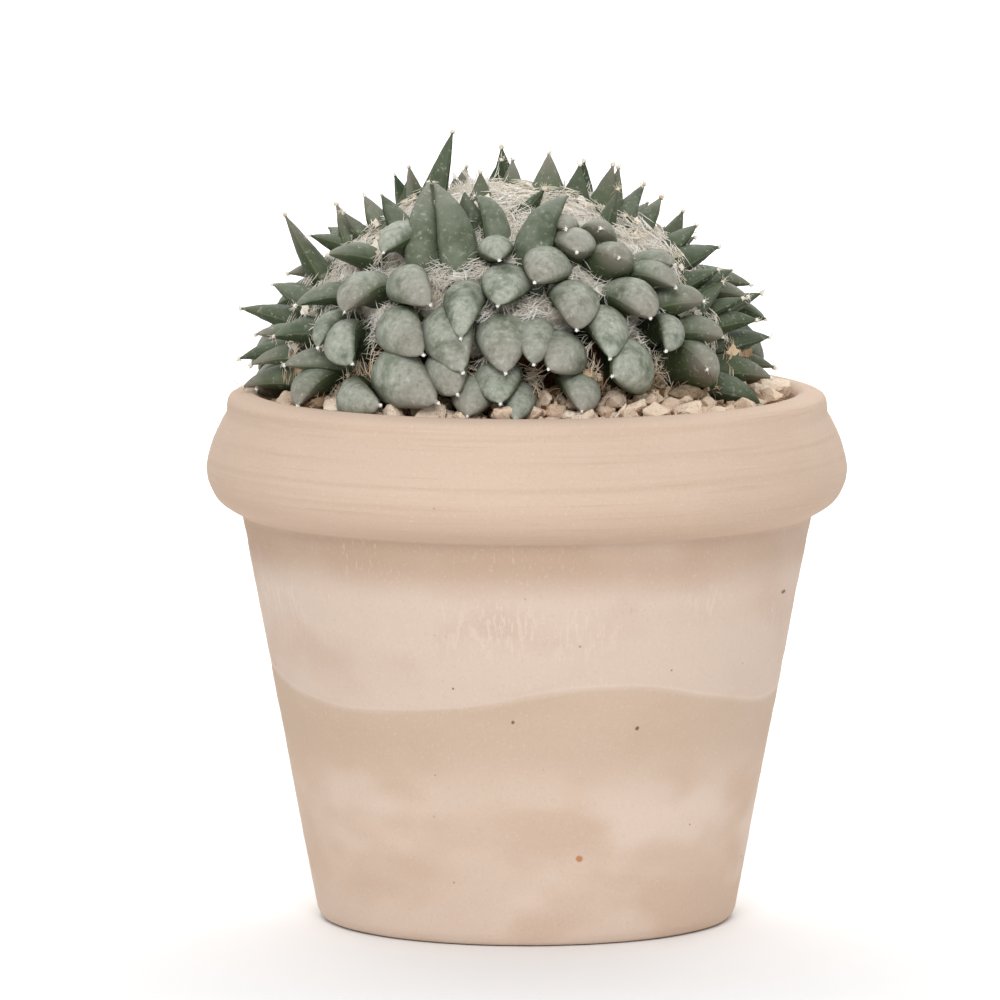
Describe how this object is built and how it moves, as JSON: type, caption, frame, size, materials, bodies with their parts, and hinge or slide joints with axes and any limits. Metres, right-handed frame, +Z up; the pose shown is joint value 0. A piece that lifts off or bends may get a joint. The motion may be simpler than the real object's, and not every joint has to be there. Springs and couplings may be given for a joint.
{
  "type": "potted living-rock cactus",
  "caption": "Round clump of a woolly living-rock cactus with pointed fleshy tubercles, standing in a rolled-rim terracotta pot topped with pumice grit.",
  "frame": {"origin": "centre of the pot's foot, on the surface that it stands on", "axes": "+Z up the pot's axis to the plant's top, -Y towards the viewer of the plant's open face, +X to the right"},
  "size_m": [0.24, 0.24, 0.2945],
  "materials": {
    "terracotta": "matte",
    "old_terracotta": "matte",
    "drainage_grit": "matte",
    "potting_soil": "matte",
    "pumice_grit": "matte",
    "pumice_stone": "matte",
    "cactus_flesh": "matte",
    "cream_wool": "matte",
    "old_wool": "matte",
    "dry_husk": "matte"
  },
  "bodies": {
    "root": {"drainage_crock": "old_terracotta", "drainage_gravel": "drainage_grit", "dry_tubercle": "dry_husk", "dry_wool_ball": "old_wool", "gravel_bed": "pumice_grit", "pot": "terracotta", "potting_mix": "potting_soil", "pumice_stone_01": "pumice_stone", "pumice_stone_02": "pumice_stone", "pumice_stone_03": "pumice_stone", "pumice_stone_04": "pumice_stone", "pumice_stone_05": "pumice_stone", "pumice_stone_06": "pumice_stone", "pumice_stone_07": "pumice_stone", "pumice_stone_08": "pumice_stone", "pumice_stone_09": "pumice_stone", "pumice_stone_10": "pumice_stone", "pumice_stone_11": "pumice_stone", "pumice_stone_12": "pumice_stone", "pumice_stone_13": "pumice_stone", "pumice_stone_14": "pumice_stone", "pumice_stone_15": "pumice_stone", "pumice_stone_16": "pumice_stone", "pumice_stone_17": "pumice_stone", "pumice_stone_18": "pumice_stone", "pumice_stone_19": "pumice_stone", "pumice_stone_20": "pumice_stone", "pumice_stone_21": "pumice_stone", "pumice_stone_22": "pumice_stone", "pumice_stone_23": "pumice_stone", "pumice_stone_24": "pumice_stone", "pumice_stone_25": "pumice_stone", "pumice_stone_26": "pumice_stone", "pumice_stone_27": "pumice_stone", "pumice_stone_28": "pumice_stone", "pumice_stone_29": "pumice_stone", "pumice_stone_30": "pumice_stone", "stem": "cactus_flesh", "wool_crown_1": "cream_wool", "wool_crown_2": "cream_wool", "wool_crown_3": "cream_wool", "wool_crown_4": "cream_wool"}
  },
  "joints": []
}
